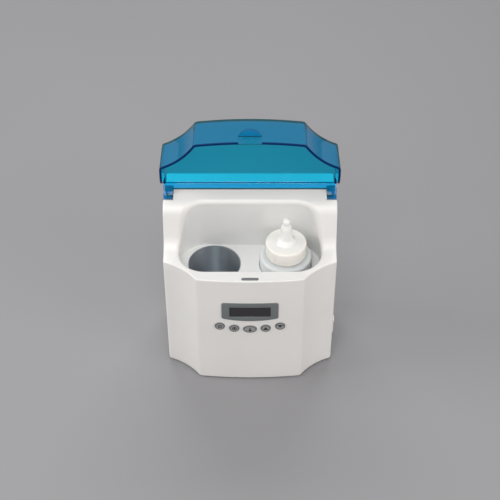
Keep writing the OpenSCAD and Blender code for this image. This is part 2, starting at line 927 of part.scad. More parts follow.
// Side view of a hinge ear: a round end on the axis and a leg up to the lid's rear edge
module ear_profile() {
    lean = atan2(lid_top - hinge_z, -lid_stop) - acos(ear_r / norm([lid_stop, lid_top - hinge_z]));
    low = rear_h + lid_gap;
    front = lid_flange_y + pocket_wall;
    reach = [front - hinge_y, low - hinge_z];
    end_r = ear_r - meet;
    dip = atan2(reach[1], reach[0]) + acos(ear_r / norm(reach));
    polygon([
        [lid_rear_y, lid_top], [front, lid_top], [front, low],
        [hinge_y + end_r * cos(dip), hinge_z + end_r * sin(dip)],
        [hinge_y, hinge_z],
        [hinge_y + end_r * cos(lean), hinge_z + end_r * sin(lean)]
    ]);
    translate([hinge_y, hinge_z]) circle(ear_r);
}

// The lid as it lies on the case
module closed_lid() {
    pull_arc = (pow(pull_w / 2, 2) + pow(pull_reach, 2)) / (2 * pull_reach);
    pull_low = front_h + lid_gap + pull_h;
    difference() {
        union() {
            difference() {
                intersection() {
                    upright(front_h, lid_top) plan(0);
                    translate([-case_w, lid_rear_y - case_d, 0]) cube([2 * case_w, case_d, 2 * lid_top]);
                }
                across(-case_w, case_w) side_profile(-lid_gap, 0);
                intersection() {
                    upright(0, lid_top - lid_wall) plan(lid_wall);
                    translate([-case_w, lid_flange_y - case_d, 0]) cube([2 * case_w, case_d, lid_top]);
                }
            }
            both_sides() across(ear_x, case_w / 2) ear_profile();
            upright(pull_low, pull_low + pull_t) intersection() {
                translate([0, pull_arc - front_bow - pull_reach]) circle(pull_arc);
                translate([-pull_w, -pull_w - lid_wall / 2]) square([2 * pull_w, pull_w]);
            }
        }
        both_sides() translate([ear_x - cut, hinge_y, hinge_z]) rotate([0, 90, 0])
            cylinder(r = pin_r + pin_slip, h = ear_hole_x - ear_x + cut);
        across(-pull_w / 2, pull_w / 2) polygon([
            [-front_bow - cut, front_h], [lid_wall - pull_edge_t - front_bow, front_h],
            [slip - front_bow, pull_low], [-front_bow - cut, pull_low]
        ]);
    }
}

module lid_cover() {
    color("deepskyblue", 0.6) placed() translate([0, hinge_y, hinge_z]) rotate([-lid_open, 0, 0])
        translate([0, -hinge_y, -hinge_z]) closed_lid();
}

// A key with a stepped cap, a flange that stops it behind the wall and a stem towards its switch
module key(at) {
    x = at[1];
    edge = abs(x) + (x == 0 ? key_mid_w / 2 : key_r) + key_flange;
    seat = bow_y(edge) + wall + slip;
    back = seat + key_flange_t;
    face = bow_y(x) - key_proud;
    stem_end = board_y - tact_h - tact_stem_h - key_travel - slip;
    color("darkgray") placed() {
        along_y(face + key_step, back) key_outline(x, 0);
        along_y(face, back) key_outline(x, -key_step);
        along_y(seat, back) key_outline(x, key_flange);
        translate([x, stem_end, key_height(x)]) rotate([90, 0, 0])
            cylinder(d = tact_stem_d, h = stem_end - seat);
    }
}

module key_power() {
    key(KEYS[0]);
}

module key_timer() {
    key(KEYS[1]);
}

module key_set() {
    key(KEYS[2]);
}

module key_up() {
    key(KEYS[3]);
}

module key_down() {
    key(KEYS[4]);
}

// Section of the bottle, drawn inwards by inset
module bottle_section(inset) {
    side = bottle_r - inset;
    bend = bottle_bend_r - inset;
    round_r = shoulder_r - inset;
    top = bottle_z + shoulder_h;
    low_c = bottle_z + bottle_bend_r;
    high_c = top - shoulder_r;
    translate([0, low_c]) square([side, high_c - low_c]);
    translate([0, bottle_z + inset]) square([bottle_r - bottle_bend_r, bend]);
    translate([bottle_r - bottle_bend_r, low_c]) circle(bend);
    translate([0, high_c]) square([bottle_r - shoulder_r, round_r]);
    translate([bottle_r - shoulder_r, high_c]) circle(round_r);
    translate([0, high_c]) square([neck_r - inset, cap_top - cap_wall - high_c + (inset > 0 ? cut : 0)]);
}

module at_bottle() {
    placed() translate([well_x, well_y, 0]) children();
}

module bottle_body() {
    color("white") at_bottle() rotate_extrude() intersection() {
        difference() {
            bottle_section(0);
            bottle_section(bottle_wall);
        }
        square([case_w, lid_top]);
    }
}

module bottle_cap() {
    color("ivory") at_bottle() difference() {
        rotate_extrude() {
            translate([0, cap_z]) square([cap_r, cap_h - cap_round]);
            translate([0, cap_z]) square([cap_r - cap_round, cap_h]);
            translate([cap_r - cap_round, cap_top - cap_round]) circle(cap_round);
        }
        translate([0, 0, cap_z - cut]) cylinder(r = neck_r + snug, h = cap_h - cap_wall + cut);
        translate([0, 0, cap_z]) cylinder(r = nozzle_bore_r, h = cap_h + cut);
    }
}

module bottle_nozzle() {
    round_z = nozzle_tip - cap_top - nozzle_r;
    tip_z = nozzle_neck_h + nozzle_step_h;
    color("white") at_bottle() translate([0, 0, cap_top]) difference() {
        union() {
            cylinder(r1 = nozzle_flare_r, r2 = nozzle_foot_r, h = flare_h);
            translate([0, 0, flare_h])
                cylinder(r1 = nozzle_foot_r, r2 = nozzle_neck_r, h = nozzle_neck_h - flare_h);
            translate([0, 0, nozzle_neck_h])
                cylinder(r1 = nozzle_neck_r, r2 = nozzle_r, h = nozzle_step_h);
            translate([0, 0, tip_z]) cylinder(r = nozzle_r, h = round_z - tip_z);
            translate([0, 0, round_z]) sphere(nozzle_r);
        }
        translate([0, 0, -cut]) cylinder(r = nozzle_bore_r, h = round_z);
    }
}

case_shell();
cavity_tub();
base_plate();
rubber_feet();
base_screws();
left_cup();
right_cup();
left_heater_mat();
right_heater_mat();
left_jacket();
right_jacket();
temperature_probes();
thermal_cutouts();
display_bezel();
display_window();
display_module();
control_board();
tact_switches();
board_screws();
rim_catch();
power_board();
power_transformer();
power_capacitors();
power_relay();
mains_inlet();
inlet_blades();
inlet_screws();
switch_frame();
switch_rocker();
hinge_pins();
lid_cover();
key_power();
key_timer();
key_set();
key_up();
key_down();
bottle_body();
bottle_cap();
bottle_nozzle();
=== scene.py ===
"""Gel bottle warmer: finish, rounded shells, key signs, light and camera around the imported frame."""
import json
import math

import bmesh
import bpy
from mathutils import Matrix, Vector
from mathutils.geometry import tessellate_polygon


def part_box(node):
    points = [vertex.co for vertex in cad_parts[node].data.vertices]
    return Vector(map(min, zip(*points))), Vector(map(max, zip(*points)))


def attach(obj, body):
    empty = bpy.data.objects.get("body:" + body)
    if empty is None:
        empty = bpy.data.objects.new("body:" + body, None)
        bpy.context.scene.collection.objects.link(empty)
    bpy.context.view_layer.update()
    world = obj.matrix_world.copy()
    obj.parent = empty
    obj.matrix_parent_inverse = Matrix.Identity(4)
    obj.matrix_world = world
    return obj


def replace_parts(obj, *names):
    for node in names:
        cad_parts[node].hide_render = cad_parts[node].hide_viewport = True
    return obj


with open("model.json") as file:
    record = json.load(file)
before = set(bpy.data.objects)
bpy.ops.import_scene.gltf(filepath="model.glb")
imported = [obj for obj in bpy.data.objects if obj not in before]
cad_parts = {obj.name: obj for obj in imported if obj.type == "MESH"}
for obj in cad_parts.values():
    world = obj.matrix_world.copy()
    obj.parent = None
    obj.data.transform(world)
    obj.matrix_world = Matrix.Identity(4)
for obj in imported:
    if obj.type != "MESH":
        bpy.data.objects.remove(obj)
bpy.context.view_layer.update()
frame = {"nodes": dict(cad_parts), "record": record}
NODES = frame["nodes"]

# Lengths below are millimetres. x runs to the right, y to the rear from the line through the front
# corners and z up from the case's lower edge.
MM = 0.001
CASE_W = 200.0
CASE_D = 130.0
FRONT_W = 123.0
FRONT_BOW = 3.5
SCOOP_D = 28.7
SCOOP_SAG = 4.0
FRONT_H = 168.0
REAR_H = 217.5
WALL = 2.5
REAR_EDGE_R = 8.0
TOP_EDGE_R = 4.0
RIM_SLOPE = math.radians(73.0)
RIM_LOW_R = 21.0
RIM_HIGH_R = 15.0
RIM_FLAT_Y = SCOOP_D + 8.0
RIM_BENDS = (RIM_LOW_R + RIM_HIGH_R) * (1 - math.cos(RIM_SLOPE))
RIM_RISE = (REAR_H - FRONT_H - RIM_BENDS) / math.tan(RIM_SLOPE)
RIM_DECK_Y = RIM_FLAT_Y + RIM_RISE + (RIM_LOW_R + RIM_HIGH_R) * math.sin(RIM_SLOPE)
OPEN_W = 164.0
OPEN_Y = 14.3
OPEN_D = 63.4
OPEN_FRONT_R = 30.0
OPEN_REAR_R = 32.0
SHELF_H = 148.0
SHELF_T = 2.5
WELL_R = 31.15
WELL_X = 41.5
WELL_Y = OPEN_Y + OPEN_D / 2
WELL_STEPS = 120
SLIP = 0.3
# How far faces that would coincide are kept apart, and how far a cut runs past what it cuts
SEAM = 0.02
CUT_PAST = 1.0

# Rounded edges of the moulded shells
FOOT_INSET = 0.6
CORNER_CUT = 2.4
RIM_ROLL = 1.3
MOUTH_ROLL_FRONT = 2.6
MOUTH_ROLL_REAR = 4.6
MOUTH_LIP = 0.4
TUB_WALL = 2.0

case_low, case_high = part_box("case_shell")
ORIGIN = Vector((0.0, case_low.y + FRONT_BOW * MM, case_low.z))


def place(x, y, z):
    """A point given in millimetres, in the frame of the whole part."""
    return ORIGIN + Vector((x, y, z)) * MM


# Camera, at the place and with the lens that the photograph's perspective gives
CAMERA_TILT = math.radians(44.27)
CAMERA_DISTANCE = 1388.4
CAMERA_TARGET = (0.0, 27.1, 188.6)
CAMERA_LENS = 88.1
CAMERA_SENSOR = 36.0


def make_camera():
    data = bpy.data.cameras.new("camera")
    data.lens = CAMERA_LENS
    data.sensor_width = CAMERA_SENSOR
    camera = bpy.data.objects.new("camera", data)
    bpy.context.scene.collection.objects.link(camera)
    back = Vector((0.0, -math.cos(CAMERA_TILT), math.sin(CAMERA_TILT)))
    camera.location = place(*CAMERA_TARGET) + back * CAMERA_DISTANCE * MM
    camera.rotation_euler = (math.pi / 2 - CAMERA_TILT, 0.0, 0.0)
    bpy.context.scene.camera = camera


make_camera()


# Materials. A noise is spread over its middle range, where nearly all of its values lie. Depths of
# relief and the reach of light inside plastic are in metres.
NOISE_LOW = 0.3
NOISE_HIGH = 0.7
# Moulded plastic: its slow colour drift, its fine grain and the light that enters it
DRIFT_SCALE = 14.0
DRIFT_SHADE = 0.965
MOULD_DETAIL = 3.0
SHEEN_SPREAD = 0.05
GRAIN_STRENGTH = 0.35
GLOW_RADIUS = (1.0, 0.9, 0.8)
GLOW_SCALE = 0.004
# Drawn and turned metal: its fine lines
LINE_SCALE = 900.0
LINE_DETAIL = 5.0
LINE_SHADE = 0.82
LINE_SPREAD = 0.06
LINE_DEPTH = 0.00003
LINE_STRENGTH = 0.4
# The cups
CUP_COLOURS = ((0.62, 0.665, 0.705), (0.70, 0.745, 0.785))
CUP_ROUGHNESS = (0.30, 0.36)
CUP_STRETCH = (0.03, 0.03, 1.0)
CUP_DEPTH = 0.00001
CUP_STRENGTH = 0.3
CUP_METALLIC = 0.85
CUP_ANISOTROPY = 0.88
CUP_TURN = 0.25
# The lid, and its cut edge with its painted shade
ACRYLIC_COLOUR = (0.07, 0.88, 1.0, 1.0)
ACRYLIC_CLEARNESS = 0.935
ACRYLIC_IOR = 1.37
ACRYLIC_WAVES = 240.0
ACRYLIC_ROUGHNESS = (0.02, 0.05)
ACRYLIC_DEPTH = 0.000004
ACRYLIC_STRENGTH = 0.2
ACRYLIC_TINT = (0.0, 0.815, 0.963, 1.0)
ACRYLIC_DENSITY = 800.0
# Painted shade: the dark navy of the cut edge stands in for the darkening that refraction and the contact
# shadow give it, over the sheet's own deep colour
EDGE_SHADE_COLOURS = ((0.001, 0.022, 0.095), (0.0015, 0.026, 0.108))
CUT_EDGE_ROUGHNESS = (0.25, 0.35)
CUT_EDGE_DRIFT = 60.0
CUT_EDGE_SHINE = 0.04
PLAIN_DETAIL = 2.0


def new_material(name):
    """A material with its node tree and its principled shader."""
    material = bpy.data.materials.new(name)
    material.use_nodes = True
    tree = material.node_tree
    shader = next(n for n in tree.nodes if n.type == "BSDF_PRINCIPLED")
    return material, tree, shader


def add_noise(tree, scale, detail, stretch=(1.0, 1.0, 1.0)):
    """Noise over the piece's own coordinates, in features of about one over scale metres."""
    coords = tree.nodes.new("ShaderNodeTexCoord")
    mapping = tree.nodes.new("ShaderNodeMapping")
    mapping.inputs["Scale"].default_value = stretch
    noise = tree.nodes.new("ShaderNodeTexNoise")
    noise.inputs["Scale"].default_value = scale
    noise.inputs["Detail"].default_value = detail
    tree.links.new(coords.outputs["Object"], mapping.inputs["Vector"])
    tree.links.new(mapping.outputs["Vector"], noise.inputs["Vector"])
    return noise


def add_colour(tree, shader, source, low, high):
    """Base colour from low to high along a noise's value."""
    ramp = tree.nodes.new("ShaderNodeValToRGB")
    stops = ramp.color_ramp.elements
    stops[0].position = NOISE_LOW
    stops[1].position = NOISE_HIGH
    stops[0].color = (*low, 1.0)
    stops[1].color = (*high, 1.0)
    tree.links.new(source.outputs["Fac"], ramp.inputs["Fac"])
    tree.links.new(ramp.outputs["Color"], shader.inputs["Base Color"])


def add_roughness(tree, shader, source, low, high):
    """Roughness from low to high along a noise's value."""
    spread = tree.nodes.new("ShaderNodeMapRange")
    spread.inputs["From Min"].default_value = NOISE_LOW
    spread.inputs["From Max"].default_value = NOISE_HIGH
    spread.inputs["To Min"].default_value = low
    spread.inputs["To Max"].default_value = high
    tree.links.new(source.outputs["Fac"], spread.inputs["Value"])
    tree.links.new(spread.outputs["Result"], shader.inputs["Roughness"])


def add_bump(tree, shader, source, distance, strength):
    """Fine relief along a noise's value."""
    bump = tree.nodes.new("ShaderNodeBump")
    bump.inputs["Strength"].default_value = strength
    bump.inputs["Distance"].default_value = distance
    tree.links.new(source.outputs["Fac"], bump.inputs["Height"])
    tree.links.new(bump.outputs["Normal"], shader.inputs["Normal"])


def shade(colour, factor):
    return tuple(c * factor for c in colour)


def moulded(name, colour, roughness, grain=2600.0, depth=0.00002, glow=0.0):
    """Moulded plastic: slow colour drift, fine grain in the surface and an uneven sheen."""
    material, tree, shader = new_material(name)
    drift = add_noise(tree, DRIFT_SCALE, MOULD_DETAIL)
    add_colour(tree, shader, drift, shade(colour, DRIFT_SHADE), colour)
    fine = add_noise(tree, grain, MOULD_DETAIL)
    add_roughness(tree, shader, fine, roughness - SHEEN_SPREAD, roughness + SHEEN_SPREAD)
    add_bump(tree, shader, fine, depth, GRAIN_STRENGTH)
    if glow:
        shader.inputs["Subsurface Weight"].default_value = glow
        shader.inputs["Subsurface Radius"].default_value = GLOW_RADIUS
        shader.inputs["Subsurface Scale"].default_value = GLOW_SCALE
    return material


def brushed(name, colour, roughness, stretch):
    """Drawn metal with fine lines along one direction."""
    material, tree, shader = new_material(name)
    lines = add_noise(tree, LINE_SCALE, LINE_DETAIL, stretch)
    add_colour(tree, shader, lines, shade(colour, LINE_SHADE), colour)
    add_roughness(tree, shader, lines, roughness - LINE_SPREAD, roughness + LINE_SPREAD)
    add_bump(tree, shader, lines, LINE_DEPTH, LINE_STRENGTH)
    shader.inputs["Metallic"].default_value = 1.0
    return material


def tinted_lid():
    """Clear acrylic whose colour builds up with the length of the way through it."""
    material, tree, shader = new_material("lid acrylic")
    shader.inputs["Base Color"].default_value = ACRYLIC_COLOUR
    shader.inputs["Transmission Weight"].default_value = ACRYLIC_CLEARNESS
    shader.inputs["IOR"].default_value = ACRYLIC_IOR
    fine = add_noise(tree, ACRYLIC_WAVES, PLAIN_DETAIL)
    add_roughness(tree, shader, fine, *ACRYLIC_ROUGHNESS)
    add_bump(tree, shader, fine, ACRYLIC_DEPTH, ACRYLIC_STRENGTH)
    tint = tree.nodes.new("ShaderNodeVolumeAbsorption")
    tint.inputs["Color"].default_value = ACRYLIC_TINT
    tint.inputs["Density"].default_value = ACRYLIC_DENSITY
    output = next(n for n in tree.nodes if n.type == "OUTPUT_MATERIAL")
    tree.links.new(tint.outputs["Volume"], output.inputs["Volume"])
    return material


def painted_edge_shade():
    """The lid's cut edge: the deep colour of the sheet's whole depth, darkened as painted shade for the
    dark that refraction and the contact shadow give it.
    """
    material, tree, shader = new_material("lid edge painted shade")
    drift = add_noise(tree, CUT_EDGE_DRIFT, PLAIN_DETAIL)
    add_colour(tree, shader, drift, *EDGE_SHADE_COLOURS)
    shader.inputs["Specular IOR Level"].default_value = CUT_EDGE_SHINE
    add_roughness(tree, shader, drift, *CUT_EDGE_ROUGHNESS)
    return material


def turned_cup():
    """Anodised metal turned on a lathe: fine rings, and a sheen that runs up and down the wall."""
    material, tree, shader = new_material("cup metal")
    rings = add_noise(tree, LINE_SCALE, LINE_DETAIL, CUP_STRETCH)
    add_colour(tree, shader, rings, *CUP_COLOURS)
    add_roughness(tree, shader, rings, *CUP_ROUGHNESS)
    add_bump(tree, shader, rings, CUP_DEPTH, CUP_STRENGTH)
    shader.inputs["Metallic"].default_value = CUP_METALLIC
    shader.inputs["Anisotropic"].default_value = CUP_ANISOTROPY
    shader.inputs["Anisotropic Rotation"].default_value = CUP_TURN
    return material


MATERIALS = {
    "case_white": moulded("case plastic", (0.80, 0.785, 0.765), 0.36, glow=0.06),
    # Painted shade: the cavity's plastic is darker and cooler than the case's, for the shade inside the
    # cavity
    "cavity_white": moulded("cavity plastic painted shade", (0.75, 0.75, 0.74), 0.40, glow=0.06),
    "base_white": moulded("base plastic", (0.74, 0.725, 0.70), 0.48, 1500.0, 0.00006),
    "foot_rubber": moulded("foot rubber", (0.055, 0.055, 0.056), 0.75, 1200.0, 0.00008),
    "steel": brushed("plated steel", (0.66, 0.66, 0.67), 0.28, (1.0, 1.0, 0.1)),
    "cup_metal": turned_cup(),
    "heater_silicone": moulded("heater silicone", (0.42, 0.10, 0.045), 0.6, 900.0, 0.00010),
    "jacket_felt": moulded("jacket felt", (0.70, 0.66, 0.52), 0.92, 700.0, 0.00030),
    "probe_black": moulded("black resin", (0.02, 0.02, 0.022), 0.5),
    "bezel_grey": moulded("bezel plastic", (0.15, 0.167, 0.173), 0.42),
    "window_black": moulded("window acrylic", (0.028, 0.026, 0.029), 0.10, 300.0, 0.000003),
    "module_green": moulded("display module", (0.05, 0.10, 0.06), 0.25),
    "board_green": moulded("circuit board", (0.02, 0.12, 0.05), 0.35, 700.0, 0.00004),
    "catch_grey": moulded("catch rubber", (0.17, 0.175, 0.18), 0.6),
    "transformer_core": moulded("transformer", (0.14, 0.12, 0.10), 0.55, 500.0, 0.0001),
    "capacitor_sleeve": moulded("capacitor sleeve", (0.02, 0.03, 0.10), 0.25),
    "inlet_black": moulded("inlet resin", (0.022, 0.022, 0.023), 0.45),
    "blade_brass": brushed("blade brass", (0.78, 0.62, 0.30), 0.3, (1.0, 0.1, 1.0)),
    "switch_white": moulded("switch plastic", (0.80, 0.795, 0.78), 0.26),
    "lid_blue": tinted_lid(),
    "key_grey": moulded("key plastic", (0.30, 0.305, 0.305), 0.45),
    "bottle_white": moulded("bottle plastic", (0.64, 0.66, 0.665), 0.34, 900.0, 0.00003, glow=0.35),
    "cap_white": moulded("cap plastic", (0.84, 0.82, 0.77), 0.34, 1400.0, 0.00002, glow=0.2),
    "nozzle_white": moulded("nozzle plastic", (0.84, 0.84, 0.82), 0.28, 1400.0, 0.00002, glow=0.3),
}
# Dark finish for the lid's lower edge and rear end: painted shade over the sheet's own deep colour
LID_EDGE_SHADE = painted_edge_shade()
PIN_STEEL = brushed("pin steel", (0.10, 0.12, 0.15), 0.4, (0.1, 1.0, 1.0))
SIGN_INK = moulded("sign ink", (0.012, 0.013, 0.014), 0.55)
# Dark band round each key's face: painted shade for the gap round the key
RING_SHADE = moulded("key ring painted shade", (0.085, 0.09, 0.092), 0.55)

for part in frame["record"]["subparts"]:
    node = NODES[part["node"]]
    finish = PIN_STEEL if part["node"] == "hinge_pins" else MATERIALS[part["material_slot"]]
    if not node.material_slots:
        node.data.materials.append(finish)
    for entry in node.material_slots:
        entry.material = finish


# Meshes
SMOOTH_ANGLE = 32.0
LID_SMOOTH_ANGLE = 25.0


def add_piece(name, mesh, slot, body, material=None):
    """A finished mesh as a piece that takes a slot's finish and moves with a body."""
    piece = bpy.data.objects.new(name, mesh)
    bpy.context.scene.collection.objects.link(piece)
    mesh.materials.clear()
    mesh.materials.append(material or MATERIALS[slot])
    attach(piece, body)
    return piece


def mesh_from(name, points, faces):
    """A mesh from points in millimetres, with its faces turned outwards."""
    mesh = bpy.data.meshes.new(name)
    mesh.from_pydata([place(*p) for p in points], [], faces)
    build = bmesh.new()
    build.from_mesh(mesh)
    bmesh.ops.recalc_face_normals(build, faces=build.faces)
    build.to_mesh(mesh)
    build.free()
    return mesh


def smooth(mesh, angle=SMOOTH_ANGLE):
    """Smooth shading, with sharp edges where faces meet at more than an angle in degrees."""
    mesh.polygons.foreach_set("use_smooth", [True] * len(mesh.polygons))
    mesh.set_sharp_from_angle(angle=math.radians(angle))


def ring_faces(rows, count, close_rows):
    """Quads between rows of count points each; every row is a closed loop."""
    faces = []
    last = rows if close_rows else rows - 1
    for row in range(last):
        after = (row + 1) % rows
        for i in range(count):
            j = (i + 1) % count
            faces.append((row * count + i, row * count + j, after * count + j, after * count + i))
    return faces


def prism(outline, start, end):
    """Points and faces of a bar: start and end lift an outline's points to both of its ends."""
    count = len(outline)
    points = [start(*p) for p in outline] + [end(*p) for p in outline]
    faces = ring_faces(2, count, False)
    faces += [tuple(range(count)), tuple(range(count, 2 * count))]
    return points, faces


def joined(solids):
    """One list of points and faces for several separate solids."""
    points, faces = [], []
    for solid_points, solid_faces in solids:
        shift = len(points)
        points += solid_points
        faces += [tuple(i + shift for i in face) for face in solid_faces]
    return points, faces


def box_solid(low, high):
    corners = [(low[0], low[1]), (high[0], low[1]), (high[0], high[1]), (low[0], high[1])]
    return prism(corners, lambda x, y: (x, y, low[2]), lambda x, y: (x, y, high[2]))


def arc(centre, radius, start, end, steps):
    """Points on an arc between two angles in radians."""
    turn = (end - start) / steps
    return [
        (centre[0] + radius * math.cos(start + turn * k), centre[1] + radius * math.sin(start + turn * k))
        for k in range(steps + 1)
    ]


def line(start, end, steps):
    return [
        (start[0] + (end[0] - start[0]) * k / steps, start[1] + (end[1] - start[1]) * k / steps)
        for k in range(steps + 1)
    ]


def circle(centre, radius, steps):
    return arc(centre, radius, 0.0, 2 * math.pi, steps)[:-1]


def carve(mesh, name, tools, operation):
    """The mesh after a boolean with other solids."""
    scene = bpy.context.scene
    piece = bpy.data.objects.new(name, mesh)
    scene.collection.objects.link(piece)
    points, faces = joined(tools)
    tool = bpy.data.objects.new(name + "_tool", mesh_from(name + "_tool", points, faces))
    scene.collection.objects.link(tool)
    modifier = piece.modifiers.new("carve", "BOOLEAN")
    modifier.operation = operation
    modifier.solver = "EXACT"
    modifier.object = tool
    bpy.context.view_layer.update()
    graph = bpy.context.evaluated_depsgraph_get()
    result = bpy.data.meshes.new_from_object(piece.evaluated_get(graph))
    bpy.data.objects.remove(piece)
    bpy.data.objects.remove(tool)
    return result


# Outlines of the case and of its opening, seen from above, with the steps along their runs
JOINT_STEPS = 6
FLAT_STEPS = 6
BEND_STEPS = 18
CLIMB_STEPS = 4
DECK_STEPS = 24
BOW_STEPS = 60
SCOOP_STEPS = 48
REAR_CORNER_STEPS = 12
REAR_STEPS = 44
OPEN_EDGE_STEPS = 40
OPEN_CORNER_STEPS = 60
# Below these a ray counts as parallel to an edge, or as hitting its end
PARALLEL = 1e-12
END_SLACK = 1e-9


def rounded_joint(before, corner, after):
    """Two runs of points that meet at a corner, joined by a small round."""
    def keep(run):
        return [p for p in run if math.dist(p, corner) > CORNER_CUT]
    first, second = keep(before), keep(after)
    start, end = first[-1], second[0]
    bend = []
    for k in range(1, JOINT_STEPS):
        t = k / JOINT_STEPS
        bend.append(tuple(
            (1 - t) ** 2 * s + 2 * t * (1 - t) * c + t * t * e for s, c, e in zip(start, corner, end)
        ))
    return first + bend + second


def side_depths():
    """Depths along the case's side, close together where the rim's sweep bends or climbs."""
    rises = [math.sin(RIM_SLOPE * k / BEND_STEPS) for k in range(BEND_STEPS + 1)]
    low = [RIM_FLAT_Y + RIM_LOW_R * rise for rise in rises]
    high = [RIM_DECK_Y - RIM_HIGH_R * rise for rise in reversed(rises)]
    climb = [y for x, y in line((0.0, low[-1]), (0.0, high[0]), CLIMB_STEPS)]
    front = [y for x, y in line((0.0, SCOOP_D), (0.0, RIM_FLAT_Y), FLAT_STEPS)]
    rear = [y for x, y in line((0.0, RIM_DECK_Y), (0.0, CASE_D - REAR_EDGE_R), DECK_STEPS)]
    return front + low[1:] + climb[1:] + high[1:] + rear[1:]


def case_outline():
    """The case's outline, from the middle of its front round by the right side and back."""
    half = CASE_W / 2
    front = FRONT_W / 2
    bow_r = (front ** 2 + FRONT_BOW ** 2) / (2 * FRONT_BOW)
    bow_angle = math.asin(front / bow_r)
    run = half - front
    chord = math.hypot(run, SCOOP_D)
    scoop_r = (chord ** 2 / 4 + SCOOP_SAG ** 2) / (2 * SCOOP_SAG)
    reach = scoop_r - SCOOP_SAG
    scoop = (front + run / 2 + SCOOP_D / chord * reach, SCOOP_D / 2 - run / chord * reach)
    bow = arc((0.0, bow_r - FRONT_BOW), bow_r, -math.pi / 2, -math.pi / 2 + bow_angle, BOW_STEPS)
    start = math.atan2(0.0 - scoop[1], front - scoop[0])
    end = math.atan2(SCOOP_D - scoop[1], half - scoop[0])
    hollow = arc(scoop, scoop_r, start, end, SCOOP_STEPS)
    side = [(half, y) for y in side_depths()]
    corner = (half - REAR_EDGE_R, CASE_D - REAR_EDGE_R)
    rear_corner = arc(corner, REAR_EDGE_R, 0.0, math.pi / 2, REAR_CORNER_STEPS)
    rear = line((half - REAR_EDGE_R, CASE_D), (0.0, CASE_D), REAR_STEPS)
    right = rounded_joint(bow, (front, 0.0), hollow)
    right = rounded_joint(right, (half, SCOOP_D), side)
    right += rear_corner[1:] + rear[1:]
    left = [(-x, y) for x, y in reversed(right[1:-1])]
    return right + left


def opening_outline():
    """The opening's outline as a dense run of points, from the middle of its front."""
    half = OPEN_W / 2
    rear = OPEN_Y + OPEN_D
    front_c = (half - OPEN_FRONT_R, OPEN_Y + OPEN_FRONT_R)
    rear_c = (half - OPEN_REAR_R, rear - OPEN_REAR_R)
    right = line((0.0, OPEN_Y), (front_c[0], OPEN_Y), OPEN_EDGE_STEPS)
    right += arc(front_c, OPEN_FRONT_R, -math.pi / 2, 0.0, OPEN_CORNER_STEPS)[1:]
    right += arc(rear_c, OPEN_REAR_R, 0.0, math.pi / 2, OPEN_CORNER_STEPS)
    right += line((rear_c[0], rear), (0.0, rear), OPEN_EDGE_STEPS)[1:]
    return right + [(-x, y) for x, y in reversed(right[1:-1])]


def hit(outline, centre, towards):
    """Where a ray from centre towards a point crosses an outline."""
    dx, dy = towards[0] - centre[0], towards[1] - centre[1]
    for a, b in zip(outline, outline[1:] + outline[:1]):
        ex, ey = b[0] - a[0], b[1] - a[1]
        cross = dx * ey - dy * ex
        if abs(cross) < PARALLEL:
            continue
        ax, ay = a[0] - centre[0], a[1] - centre[1]
        along = (ax * ey - ay * ex) / cross
        beside = (ax * dy - ay * dx) / cross
        if along > 0.0 and -END_SLACK <= beside <= 1.0 + END_SLACK:
            return (centre[0] + dx * along, centre[1] + dy * along)
    raise ValueError("the ray misses the outline")


def normals(outline):
    """Outward unit normals of a closed outline that runs anticlockwise."""
    found = []
    count = len(outline)
    for i in range(count):
        a, b = outline[i - 1], outline[(i + 1) % count]
        dx, dy = b[0] - a[0], b[1] - a[1]
        size = math.hypot(dx, dy)
        found.append((dy / size, -dx / size))
    return found


def shifted(outline, aims, distance):
    """An outline moved along its normals."""
    return shifted_each(outline, aims, [distance] * len(outline))


def shifted_each(outline, aims, distances):
    """An outline whose points move along their normals by their own distances."""
    return [(p[0] + n[0] * d, p[1] + n[1] * d) for p, n, d in zip(outline, aims, distances)]


def rim_height(y, grow=0.0):
    """Height of the rim's sweep at a depth y, or of a line that runs at a distance above it."""
    low_r = RIM_LOW_R - grow
    high_r = RIM_HIGH_R + grow
    edge_r = TOP_EDGE_R + grow
    low_end = RIM_FLAT_Y + low_r * math.sin(RIM_SLOPE)
    high_start = RIM_DECK_Y - high_r * math.sin(RIM_SLOPE)
    if y <= RIM_FLAT_Y:
        return FRONT_H + grow
    if y <= low_end:
        return FRONT_H + RIM_LOW_R - math.sqrt(low_r ** 2 - (y - RIM_FLAT_Y) ** 2)
    if y <= high_start:
        foot = FRONT_H + RIM_LOW_R - low_r * math.cos(RIM_SLOPE)
        return foot + (y - low_end) * math.tan(RIM_SLOPE)
    if y <= RIM_DECK_Y:
        return REAR_H - RIM_HIGH_R + math.sqrt(high_r ** 2 - (RIM_DECK_Y - y) ** 2)
    past = y - (CASE_D - TOP_EDGE_R)
    if past <= 0.0:
        return REAR_H + grow
    return REAR_H - TOP_EDGE_R + math.sqrt(max(0.0, edge_r ** 2 - past ** 2))


OUTER = case_outline()
OUTER_AIM = normals(OUTER)
OPENING = opening_outline()
MOUTH = [hit(OPENING, (0.0, WELL_Y), p) for p in OUTER]
MOUTH_AIM = normals(MOUTH)
MOUTH_ROLLS = [
    MOUTH_ROLL_FRONT + (MOUTH_ROLL_REAR - MOUTH_ROLL_FRONT) * (y - OPEN_Y) / OPEN_D for x, y in MOUTH
]
# Places of the loops along the rolled edges and the faces between them
ROLL_STEPS = 6
ROLL_ANGLES = [math.pi / 2 * k / ROLL_STEPS for k in range(ROLL_STEPS + 1)]
RIM_SHARES = (0.03, 0.06, 0.10, 0.16, 0.25, 0.4, 0.6, 0.8)
WALL_SHARES = (0.012, 0.12, 0.25, 0.38, 0.48, 0.58, 0.68, 0.80, 0.90, 0.97)
UNDER_SHARES = (0.0, 0.5, 1.0)
TUB_SHARES = (1.0, 0.75, 0.5, 0.25, 0.06, 0.0)


def blended(first, second, share):
    """The outline at a share of the way from one outline to another."""
    return [
        (a[0] + (b[0] - a[0]) * share, a[1] + (b[1] - a[1]) * share) for a, b in zip(first, second)
    ]


